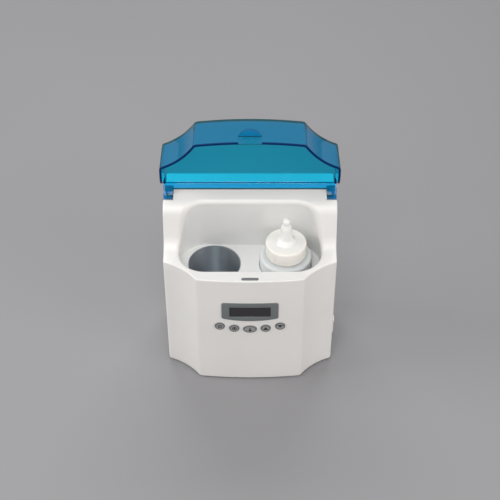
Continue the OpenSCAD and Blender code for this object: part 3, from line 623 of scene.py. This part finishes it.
def lifted(outline, drop):
    """An outline raised to the rim, less a drop."""
    return [(x, y, rim_height(y) - drop) for x, y in outline]


def sunk(outline, drops):
    """An outline whose points lie at their own distances below the rim, measured square to it."""
    return [(x, y, rim_height(y, -drop)) for (x, y), drop in zip(outline, drops)]


def mouth_foot(out, lower):
    """The foot of the rolled edge, where the cavity's wall takes over."""
    return [(x, y, z - lower) for (x, y), (u, v, z) in zip(
        shifted(MOUTH, MOUTH_AIM, out), sunk(MOUTH, MOUTH_ROLLS)
    )]


def case_rows():
    """Closed loops of the case's thin shell: up outside, over the rim, into the mouth and back inside."""
    top = [rim_height(y) - RIM_ROLL for x, y in OUTER]
    rows = [[(x, y, 0.0) for x, y in shifted(OUTER, OUTER_AIM, -FOOT_INSET)]]
    for share in WALL_SHARES:
        rows.append([(x, y, z * share) for (x, y), z in zip(OUTER, top)])
    for angle in ROLL_ANGLES:
        inset = RIM_ROLL * (1 - math.cos(angle))
        rows.append(lifted(shifted(OUTER, OUTER_AIM, -inset), RIM_ROLL * (1 - math.sin(angle))))
    start = shifted(OUTER, OUTER_AIM, -RIM_ROLL)
    end = shifted_each(MOUTH, MOUTH_AIM, MOUTH_ROLLS)
    for share in RIM_SHARES:
        rows.append(lifted(blended(start, end, share), 0.0))
    for angle in ROLL_ANGLES:
        edge = shifted_each(MOUTH, MOUTH_AIM, [roll * (1 - math.sin(angle)) for roll in MOUTH_ROLLS])
        rows.append(sunk(edge, [roll * (1 - math.cos(angle)) for roll in MOUTH_ROLLS]))
    rows.append(mouth_foot(0.0, MOUTH_LIP))
    rows.append(mouth_foot(TUB_WALL + SLIP, MOUTH_LIP))
    inner = shifted(OUTER, OUTER_AIM, -WALL)
    under = shifted(MOUTH, MOUTH_AIM, MOUTH_ROLL_REAR + TUB_WALL)
    for share in UNDER_SHARES:
        rows.append(lifted(blended(under, inner, share), WALL + RIM_ROLL))
    rows.append([(x, y, 0.0) for x, y in inner])
    return rows


# The lid's hinge, the pockets of its ears, the catch, the switch and the mains inlet
HINGE_BACK = 13.5
HINGE_Y = RIM_DECK_Y + HINGE_BACK
HINGE_DROP = 3.5
HINGE_Z = REAR_H - HINGE_DROP
EAR_W = 11.3
EAR_R = 5.0
POCKET_X = CASE_W / 2 - EAR_W - SLIP
POCKET_LINING = 2.2
POCKET_SET = 1.0
POCKET_BACK = 11.2
POCKET_FRONT = RIM_DECK_Y + POCKET_SET
POCKET_REAR = HINGE_Y + POCKET_BACK
POCKET_Z = HINGE_Z - EAR_R - 2 * SLIP
CATCH_W = 20.0
CATCH_D = 4.6
CATCH_T = 4.0
SWITCH_FLANGE = 1.0
INLET_HALF_W = 13.9
INLET_HALF_H = 10.1
INLET_BEVEL = 5.0
ROUND_END_STEPS = 16


def slot_outline(length, width):
    """A slot with round ends, centred."""
    reach = (length - width) / 2
    right = arc((reach, 0.0), width / 2, -math.pi / 2, math.pi / 2, ROUND_END_STEPS)
    left = arc((-reach, 0.0), width / 2, math.pi / 2, 3 * math.pi / 2, ROUND_END_STEPS)
    return right + left


def along_y(outline, start, end):
    """A bar from an outline in x and z, between two depths."""
    return prism(outline, lambda x, z: (x, start, z), lambda x, z: (x, end, z))


def upright(outline, start, end):
    """A bar from an outline in x and y, between two heights."""
    return prism(outline, lambda x, y: (x, y, start), lambda x, y: (x, y, end))


def node_centre(name):
    """A node's middle, from the case's own origin, and its size, both in millimetres."""
    low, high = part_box(name)
    return ((low + high) / 2 - ORIGIN) / MM, (high - low) / MM


# The keys: round ones and an oval one in the middle, each on a flange behind the front wall
KEYS = ("key_power", "key_timer", "key_set", "key_up", "key_down")
KEY_FLANGE = 1.2
KEY_FLANGE_T = 1.0
KEY_STEP = 0.5
KEY_ROUND = 0.35
KEY_CHAMFER = 0.1
KEY_STEM_R = 1.6
KEY_BOW = 0.08
KEY_SEAT = WALL + SLIP - FRONT_BOW + KEY_BOW
OVAL_STEPS = 72


def oval(length, width):
    """An ellipse, centred."""
    turns = [i * 2 * math.pi / OVAL_STEPS for i in range(OVAL_STEPS)]
    return [(length / 2 * math.cos(a), width / 2 * math.sin(a)) for a in turns]


def key_outline(name, inset):
    """A key's round or oval outline, drawn in by inset."""
    size = node_centre(name)[1]
    return oval(size.x - 2 * (KEY_FLANGE + inset), size.z - 2 * (KEY_FLANGE + inset))


def key_hole(name):
    """The outline of the hole that a key stands in, at its place on the front."""
    centre = node_centre(name)[0]
    return [(x + centre.x, z + centre.z) for x, z in key_outline(name, -SLIP)]


def make_case():
    """The case's shell with the hinge pockets and the holes for catch, keys, switch and inlet."""
    rows = case_rows()
    points = [p for row in rows for p in row]
    mesh = mesh_from("case_skin", points, ring_faces(len(rows), len(OUTER), True))
    linings, cuts = [], []
    for side in (-1, 1):
        xs = sorted((side * (POCKET_X - POCKET_LINING), side * (CASE_W / 2 - WALL / 2)))
        linings.append(box_solid(
            (xs[0], POCKET_FRONT - POCKET_LINING, POCKET_Z - POCKET_LINING),
            (xs[1], POCKET_REAR + POCKET_LINING, REAR_H - WALL / 2),
        ))
        xs = sorted((side * POCKET_X, side * CASE_W))
        cuts.append(box_solid((xs[0], POCKET_FRONT, POCKET_Z), (xs[1], POCKET_REAR, 2 * REAR_H)))
    mesh = carve(mesh, "case_skin", linings, "UNION")
    catch_y = CATCH_D / 2 - WALL / 2
    catch = [(x, y + catch_y) for x, y in slot_outline(CATCH_W, CATCH_D)]
    cuts.append(upright(catch, FRONT_H - CATCH_T, FRONT_H + CUT_PAST))
    for name in KEYS:
        cuts.append(along_y(key_hole(name), -FRONT_BOW - 2 * CUT_PAST, WALL))
    switch, switch_size = node_centre("switch_frame")
    reach = (switch_size.y / 2 - SWITCH_FLANGE, switch_size.z / 2 - SWITCH_FLANGE)
    cuts.append(box_solid(
        (CASE_W / 2 - 2 * WALL, switch.y - reach[0], switch.z - reach[1]),
        (CASE_W / 2 + WALL, switch.y + reach[0], switch.z + reach[1]),
    ))
    inlet = node_centre("mains_inlet")[0]
    right = [
        (INLET_HALF_W, -INLET_HALF_H), (INLET_HALF_W, INLET_HALF_H - INLET_BEVEL),
        (INLET_HALF_W - INLET_BEVEL, INLET_HALF_H),
    ]
    socket = right + [(-x, z) for x, z in reversed(right)]
    socket = [(x + inlet.x, z + inlet.z) for x, z in socket]
    cuts.append(along_y(socket, CASE_D - 2 * WALL, CASE_D + WALL))
    mesh = carve(mesh, "case_skin", cuts, "DIFFERENCE")
    smooth(mesh)
    piece = add_piece("case_skin", mesh, "case_white", "case")
    piece.modifiers.new("even shading", "WEIGHTED_NORMAL").keep_sharp = True
    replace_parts(piece, "case_shell")


def make_cavity():
    """The cavity's wall and its shelf with the holes of the two wells."""
    lining = shifted(MOUTH, MOUTH_AIM, SEAM)
    outside = shifted(MOUTH, MOUTH_AIM, TUB_WALL)
    tops = [z for x, y, z in mouth_foot(0.0, MOUTH_LIP / 2)]
    rows = [[(x, y, SHELF_H - SHELF_T) for x, y in outside]]
    rows.append([(x, y, z) for (x, y), z in zip(outside, tops)])
    for share in TUB_SHARES:
        rows.append([(x, y, SHELF_H + (z - SHELF_H) * share) for (x, y), z in zip(lining, tops)])
    count = len(lining)
    points = [p for row in rows for p in row]
    faces = ring_faces(len(rows), count, False)
    upper = [list(range((len(rows) - 1) * count, len(rows) * count))]
    lower = [list(range(count))]
    for side in (-1, 1):
        base = len(points)
        hole = circle((side * WELL_X, WELL_Y), WELL_R, WELL_STEPS)
        for height in (SHELF_H, SHELF_H - SHELF_T):
            points += [(x, y, height) for x, y in hole]
        faces += [tuple(base + i for i in face) for face in ring_faces(2, WELL_STEPS, False)]
        upper.append(list(range(base, base + WELL_STEPS)))
        lower.append(list(range(base + WELL_STEPS, base + 2 * WELL_STEPS)))
    faces += flat_fill(points, upper) + flat_fill(points, lower)
    mesh = mesh_from("cavity_skin", points, faces)
    smooth(mesh)
    piece = add_piece("cavity_skin", mesh, "cavity_white", "case")
    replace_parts(piece, "cavity_tub")


# The lid, drawn as it lies on the case and then swung open
LID_HEAD = 5.5
LID_TOP = REAR_H + LID_HEAD
LID_WALL = 2.5
LID_GAP = 0.4
LID_OPEN = math.radians(99.7)
LID_RISE = LID_TOP - HINGE_Z
LID_STOP = (HINGE_DROP + SLIP - LID_RISE * math.cos(LID_OPEN)) / math.sin(LID_OPEN)
LID_REAR_Y = HINGE_Y - LID_STOP
LID_FLANGE_Y = RIM_DECK_Y - SLIP
LID_EDGE = 0.5
# Height of the band of painted shade along the lid's lower edge
EDGE_SHADE_BAND = 1.1
BAND_SHARE = 0.08
EDGE_SLACK = 0.05
EDGE_SHARES = (0.0, 0.35, 0.65, 1.0)
SKIRT_SHARES = (0.1, 0.4, 0.7)
LID_TOP_ROLL = 0.9
LID_FILLET = 2.0
FILLET_ROOM = 0.2
PULL_W = 26.0
PULL_REACH = 9.0
PULL_RISE = 13.0
PULL_Z = FRONT_H + LID_GAP + PULL_RISE
PULL_T = 2.2
PULL_EDGE_T = 1.0
PIN_R = 1.55
PIN_END = 3.0
CORNER_ROOM = 2.5
LID_REAR_STEPS = 60
EAR_STEPS = 40
BORE_STEPS = 32
PULL_STEPS = 40


def clipped(outline, limit):
    """The part of an outline in front of a limit, closed by a straight rear edge."""
    half = max(x for x, y in outline)
    kept = [p for p in outline if p[1] < limit - CORNER_ROOM]
    turn = next(
        i for i in range(len(kept))
        if kept[i][0] > 0 and kept[(i + 1) % len(kept)][0] <= 0 and kept[i][1] > limit / 2
    )
    rear = line((half, limit), (-half, limit), LID_REAR_STEPS)
    return kept[:turn + 1] + rear + kept[turn + 1:]


def lid_outlines():
    """The lid's outline and, point by point towards its middle, the inner face of its wall."""
    centre = (0.0, WELL_Y)
    outer = clipped(OUTER, LID_REAR_Y)
    wall = clipped(shifted(OUTER, OUTER_AIM, -LID_WALL), LID_FLANGE_Y)
    corners = [(side * (CASE_W / 2 - LID_WALL), LID_FLANGE_Y) for side in (-1, 1)]
    kept = [p for p in outer if all(math.dist(hit(wall, centre, p), c) > CORNER_ROOM for c in corners)]
    kept += [hit(outer, centre, c) for c in corners]
    kept.sort(key=lambda p: math.atan2(p[1] - centre[1], p[0] - centre[0]))
    return kept, [hit(wall, centre, p) for p in kept]


def shade_band_border(outline, lows, top):
    """The upper border of the band of painted shade along the lid's lower edge."""
    return [(x, y, z + min(EDGE_SHADE_BAND, (top - z) * BAND_SHARE)) for (x, y), z in zip(outline, lows)]


def lid_rows(outer, inner):
    """Closed loops of the lid's shell: down inside, round the lower edge, up outside, over the top."""
    outer_aim, inner_aim = normals(outer), normals(inner)
    ceiling = LID_TOP - LID_WALL
    rows = []
    for angle in ROLL_ANGLES:
        inset = LID_FILLET * (1 - math.sin(angle))
        height = ceiling - LID_FILLET * (1 - math.cos(angle))
        rows.append([(x, y, height) for x, y in shifted(inner, inner_aim, -inset)])
    fillet = ceiling - LID_FILLET
    lows = [min(rim_height(y, LID_GAP) + LID_EDGE, fillet - FILLET_ROOM) for x, y in inner]
    for share in reversed(SKIRT_SHARES):
        rows.append([(x, y, z + (fillet - z) * share) for (x, y), z in zip(inner, lows)])
    rows.append(shade_band_border(inner, lows, fillet))
    rows.append([(x, y, z) for (x, y), z in zip(inner, lows)])
    start = shifted(inner, inner_aim, LID_EDGE)
    end = shifted(outer, outer_aim, -LID_EDGE)
    for share in EDGE_SHARES:
        rows.append([(x, y, rim_height(y, LID_GAP)) for x, y in blended(start, end, share)])
    for angle in ROLL_ANGLES[2::2]:
        out = LID_EDGE * (1 - math.sin(angle))
        rise = LID_EDGE * (1 - math.cos(angle))
        rows.append([(x, y, rim_height(y, LID_GAP) + rise) for x, y in shifted(outer, outer_aim, -out)])
    top = LID_TOP - LID_TOP_ROLL
    lows = [rim_height(y, LID_GAP) + LID_EDGE for x, y in outer]
    rows.append(shade_band_border(outer, lows, top))
    for share in SKIRT_SHARES + (1.0,):
        rows.append([(x, y, z + (top - z) * share) for (x, y), z in zip(outer, lows)])
    for angle in ROLL_ANGLES[1:]:
        inset = LID_TOP_ROLL * (1 - math.cos(angle))
        height = top + LID_TOP_ROLL * math.sin(angle)
        rows.append([(x, y, height) for x, y in shifted(outer, outer_aim, -inset)])
    return rows


def ear_outline():
    """Side view of a hinge ear in y and z: a round end on the axis, a leg up to the lid's rear edge."""
    front = LID_FLANGE_Y + POCKET_LINING
    low = REAR_H + LID_GAP
    reach = (front - HINGE_Y, low - HINGE_Z)
    dip = math.atan2(reach[1], reach[0]) + math.acos(EAR_R / math.hypot(*reach))
    lean = math.atan2(LID_RISE, -LID_STOP) - math.acos(EAR_R / math.hypot(LID_STOP, LID_RISE))
    round_end = arc((HINGE_Y, HINGE_Z), EAR_R, dip, lean + 2 * math.pi, EAR_STEPS)
    corner = LID_TOP - SEAM
    return [(LID_REAR_Y - SEAM, corner), (front, corner), (front, low)] + round_end


def across(outline, start, end):
    """A bar from an outline in y and z, between two places in x."""
    return prism(outline, lambda y, z: (start, y, z), lambda y, z: (end, y, z))


def swung(point):
    """A point of the closed lid after the lid has opened."""
    x, y, z = point
    dy, dz = y - HINGE_Y, z - HINGE_Z
    cos, sin = math.cos(LID_OPEN), -math.sin(LID_OPEN)
    return (x, HINGE_Y + dy * cos - dz * sin, HINGE_Z + dy * sin + dz * cos)


def flat_fill(points, loops):
    """Triangles that fill the flat space between loops of point numbers."""
    flat = [[Vector((points[i][0], points[i][1], 0.0)) for i in loop] for loop in loops]
    order = [i for loop in loops for i in loop]
    return [tuple(order[i] for i in triangle) for triangle in tessellate_polygon(flat)]


def gets_edge_shade(x, y, z):
    """Whether a point of the closed lid gets the painted edge shade: on its lower edge or rear end, but
    not at the pull.
    """
    if abs(x) < PULL_W / 2 and y < LID_WALL:
        return False
    if y > LID_REAR_Y - EDGE_SLACK:
        return abs(x) < CASE_W / 2 - EAR_W and z < LID_TOP - LID_TOP_ROLL
    return y < LID_FLANGE_Y and z < rim_height(y, LID_GAP) + LID_EDGE + EDGE_SHADE_BAND


def make_lid():
    """The lid's shell with its hinge ears and finger pull, its edges marked for painted shade, swung
    open.
    """
    outer, inner = lid_outlines()
    rows = lid_rows(outer, inner)
    count = len(outer)
    points = [p for row in rows for p in row]
    faces = ring_faces(len(rows), count, False)
    faces += flat_fill(points, [list(range(count))])
    faces += flat_fill(points, [list(range((len(rows) - 1) * count, len(rows) * count))])
    mesh = mesh_from("lid_skin", points, faces)
    ear_x = CASE_W / 2 - EAR_W
    extras, cuts = [], []
    for side in (-1, 1):
        extras.append(across(ear_outline(), side * ear_x, side * (CASE_W / 2 - SEAM)))
        bore = circle((HINGE_Y, HINGE_Z), PIN_R, BORE_STEPS)
        cuts.append(across(bore, side * (ear_x - CUT_PAST), side * (CASE_W / 2 - PIN_END)))
    pull_r = (PULL_W ** 2 / 4 + PULL_REACH ** 2) / (2 * PULL_REACH)
    spread = math.asin(PULL_W / 2 / pull_r)
    centre = (0.0, pull_r - FRONT_BOW - PULL_REACH)
    tongue = arc(centre, pull_r, -math.pi / 2 - spread, spread - math.pi / 2, PULL_STEPS)
    tongue += [(PULL_W / 2, -LID_WALL / 2), (-PULL_W / 2, -LID_WALL / 2)]
    extras.append(upright(tongue, PULL_Z, PULL_Z + PULL_T))
    recess = [
        (-FRONT_BOW - CUT_PAST, FRONT_H), (LID_WALL - PULL_EDGE_T - FRONT_BOW, FRONT_H),
        (SLIP - FRONT_BOW, PULL_Z), (-FRONT_BOW - CUT_PAST, PULL_Z),
    ]
    cuts.append(across(recess, -PULL_W / 2, PULL_W / 2))
    mesh = carve(mesh, "lid_skin", extras, "UNION")
    mesh = carve(mesh, "lid_skin", cuts, "DIFFERENCE")
    edges = [face.index for face in mesh.polygons if gets_edge_shade(*((face.center - ORIGIN) / MM))]
    for vertex in mesh.vertices:
        vertex.co = place(*swung((vertex.co - ORIGIN) / MM))
    smooth(mesh, LID_SMOOTH_ANGLE)
    piece = add_piece("lid_skin", mesh, "lid_blue", "lid")
    # The lower edge and the rear end take the dark finish, painted shade for the dark that refraction and
    # the contact shadow on the deck give them
    mesh.materials.append(LID_EDGE_SHADE)
    for index in edges:
        mesh.polygons[index].material_index = 1
    # Keeps a blue cast off the white deck behind the lid
    piece.visible_diffuse = False
    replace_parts(piece, "lid_cover")


make_case()
make_cavity()
make_lid()


# Small rounds on the edges of the plain nodes
BEVELS = {
    "display_bezel": 0.35, "display_window": 0.15, "switch_frame": 0.5,
    "switch_rocker": 0.4, "mains_inlet": 0.4, "rim_catch": 0.3, "rubber_feet": 0.4,
    "key_power": KEY_ROUND, "key_timer": KEY_ROUND, "key_up": KEY_ROUND, "key_down": KEY_ROUND,
    "bottle_cap": 0.8, "inlet_screws": 0.2, "base_screws": 0.2,
}
# In metres, unlike the widths above
WELD_GAP = 0.00002
BEVEL_SEGMENTS = 3
BEVEL_ANGLE = math.radians(35.0)


def round_edges(node, width):
    weld = node.modifiers.new("weld", "WELD")
    weld.merge_threshold = WELD_GAP
    bevel = node.modifiers.new("round", "BEVEL")
    bevel.width = width * MM
    bevel.segments = BEVEL_SEGMENTS
    bevel.limit_method = "ANGLE"
    bevel.angle_limit = BEVEL_ANGLE
    bevel.harden_normals = True


for name, width in BEVELS.items():
    round_edges(NODES[name], width)


# Signs on the keys, which are plain generic shapes, and the oval middle key
SIGN_T = 0.12
RING_W = 0.85
OPEN_RING_STEPS = 28
CAP_TURNS = (0.0, 30.0, 60.0, 90.0)


def sign_piece(key, body, outlines, name="sign", ink_and_shade=SIGN_INK):
    """Flat raised shapes on a key's face, given in x and z from its middle."""
    centre, size = node_centre(key)
    face = centre.y - size.y / 2
    solids = []
    for outline in outlines:
        placed = [(x + centre.x, z + centre.z) for x, z in outline]
        solids.append(along_y(placed, face - SIGN_T, face + SIGN_T))
    points, faces = joined(solids)
    title = key + "_" + name
    add_piece(title, mesh_from(title, points, faces), "key_grey", body, ink_and_shade)


def triangle(half, rise, up):
    turn = 1 if up else -1
    return [(-half, -rise * turn), (half, -rise * turn), (0.0, rise * turn)]


def open_ring(radius, width, start, end):
    """A part of a ring between two angles in degrees."""
    start, end = math.radians(start), math.radians(end)
    first = arc((0.0, 0.0), radius + width / 2, start, end, OPEN_RING_STEPS)
    second = arc((0.0, 0.0), radius - width / 2, end, start, OPEN_RING_STEPS)
    return first + second


def bar(width, low, high):
    return [(-width / 2, low), (width / 2, low), (width / 2, high), (-width / 2, high)]


def halves(radius, width):
    """A whole ring as two half rings that meet."""
    return [open_ring(radius, width, 0.0, 180.0), open_ring(radius, width, 180.0, 360.0)]


def band(outer, inner):
    """The ring between two outlines with as many points, in two halves."""
    half = len(outer) // 2
    return [
        outer[:half + 1] + inner[half::-1],
        outer[half:] + outer[:1] + inner[:1] + inner[:half - 1:-1],
    ]


def key_ring(key, body):
    """A dark band round the edge of a key's face: painted shade for the gap round the key."""
    edges = key_outline(key, KEY_ROUND), key_outline(key, KEY_ROUND + RING_W)
    sign_piece(key, body, band(*edges), "ring", RING_SHADE)


def make_set_key():
    """The middle key: an oval stepped cap on a flange, with a stem towards its switch."""
    centre, size = node_centre("key_set")
    face = centre.y - size.y / 2
    rows = []
    for turn in CAP_TURNS:
        angle = math.radians(turn)
        rows.append((key_outline("key_set", KEY_STEP + KEY_ROUND * (1 - math.sin(angle))),
                     face + KEY_ROUND * (1 - math.cos(angle))))
    back = KEY_SEAT + KEY_FLANGE_T
    for inset, depth in (
        (KEY_STEP, face + KEY_STEP), (KEY_CHAMFER, face + KEY_STEP), (0.0, face + KEY_STEP + KEY_CHAMFER),
        (0.0, KEY_SEAT), (-KEY_FLANGE, KEY_SEAT), (-KEY_FLANGE, back),
    ):
        rows.append((key_outline("key_set", inset), depth))
    stem = oval(2 * KEY_STEM_R, 2 * KEY_STEM_R)
    rows += [(stem, back), (stem, centre.y + size.y / 2)]
    count = len(stem)
    points = [(x + centre.x, depth, z + centre.z) for outline, depth in rows for x, z in outline]
    faces = ring_faces(len(rows), count, False)
    faces += [tuple(range(count)), tuple(range(len(points) - count, len(points)))]
    mesh = mesh_from("key_set_cap", points, faces)
    smooth(mesh)
    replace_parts(add_piece("key_set_cap", mesh, "key_grey", "set_key"), "key_set")


make_set_key()
SIGNS = {
    "key_power": ("power_key", [open_ring(2.0, 1.0, 125.0, 415.0), bar(1.0, 0.2, 3.0)]),
    "key_timer": ("timer_key", halves(2.1, 0.9) + [bar(0.8, 0.0, 1.6), circle((0.0, 0.0), 0.85, 20)]),
    "key_set": ("set_key", [circle((0.0, -1.9), 1.5, 24), bar(1.1, -1.0, 2.9)]),
    "key_up": ("up_key", [triangle(3.1, 2.3, True)]),
    "key_down": ("down_key", [triangle(3.1, 2.3, False)]),
}
for key, (body, outlines) in SIGNS.items():
    key_ring(key, body)
    sign_piece(key, body, outlines)


# Floor and light, in metres and watts
FLOOR_COLOURS = ((0.243, 0.241, 0.250), (0.255, 0.253, 0.262))
FLOOR_DRIFT = 1.2
FLOOR_ROUGHNESS = 0.7
FLOOR_REACH = 6.0
SKY_COLOUR = (1.0, 1.0, 1.0, 1.0)
SKY_STRENGTH = 0.35
LAMP_AIM = (0.0, 0.0, 0.12)
# Place, width and height, power and colour of each lamp
LAMPS = {
    "front_top": ((-0.15, -0.9, 1.8), (0.8, 1.2), 15.0, (0.98, 0.99, 1.0)),
    "front_left": ((-1.4, -1.2, 0.9), (1.0, 1.0), 5.5, (1.0, 0.95, 0.915)),
    "front_right": ((1.5, -1.0, 0.8), (0.9, 0.9), 14.0, (1.0, 0.95, 0.915)),
    "side_left": ((-1.8, -0.1, 1.1), (1.0, 1.0), 17.5, (1.0, 0.985, 0.97)),
    "rear": ((0.0, 1.3, 1.65), (1.6, 0.7), 19.5, (1.0, 1.0, 1.0)),
}


def make_floor():
    material, tree, shader = new_material("floor")
    drift = add_noise(tree, FLOOR_DRIFT, PLAIN_DETAIL)
    add_colour(tree, shader, drift, *FLOOR_COLOURS)
    shader.inputs["Roughness"].default_value = FLOOR_ROUGHNESS
    mesh = bpy.data.meshes.new("floor")
    reach = FLOOR_REACH
    corners = [(-reach, -reach, 0.0), (reach, -reach, 0.0), (reach, reach, 0.0), (-reach, reach, 0.0)]
    mesh.from_pydata(corners, [], [(0, 1, 2, 3)])
    floor = bpy.data.objects.new("floor", mesh)
    bpy.context.scene.collection.objects.link(floor)
    mesh.materials.append(material)


def add_lamp(name, spot, size, power, colour):
    data = bpy.data.lights.new(name, "AREA")
    data.shape = "RECTANGLE"
    data.size, data.size_y = size
    data.energy = power
    data.color = colour
    lamp = bpy.data.objects.new(name, data)
    bpy.context.scene.collection.objects.link(lamp)
    # The lamps themselves don't show through the lid
    lamp.visible_transmission = False
    lamp.location = spot
    lamp.rotation_euler = (Vector(LAMP_AIM) - Vector(spot)).to_track_quat("-Z", "Y").to_euler()


def make_light():
    world = bpy.data.worlds.new("studio")
    world.use_nodes = True
    sky = next(n for n in world.node_tree.nodes if n.type == "BACKGROUND")
    sky.inputs["Color"].default_value = SKY_COLOUR
    sky.inputs["Strength"].default_value = SKY_STRENGTH
    bpy.context.scene.world = world
    for name, values in LAMPS.items():
        add_lamp(name, *values)


make_floor()
make_light()
bpy.context.scene.view_settings.view_transform = "Standard"
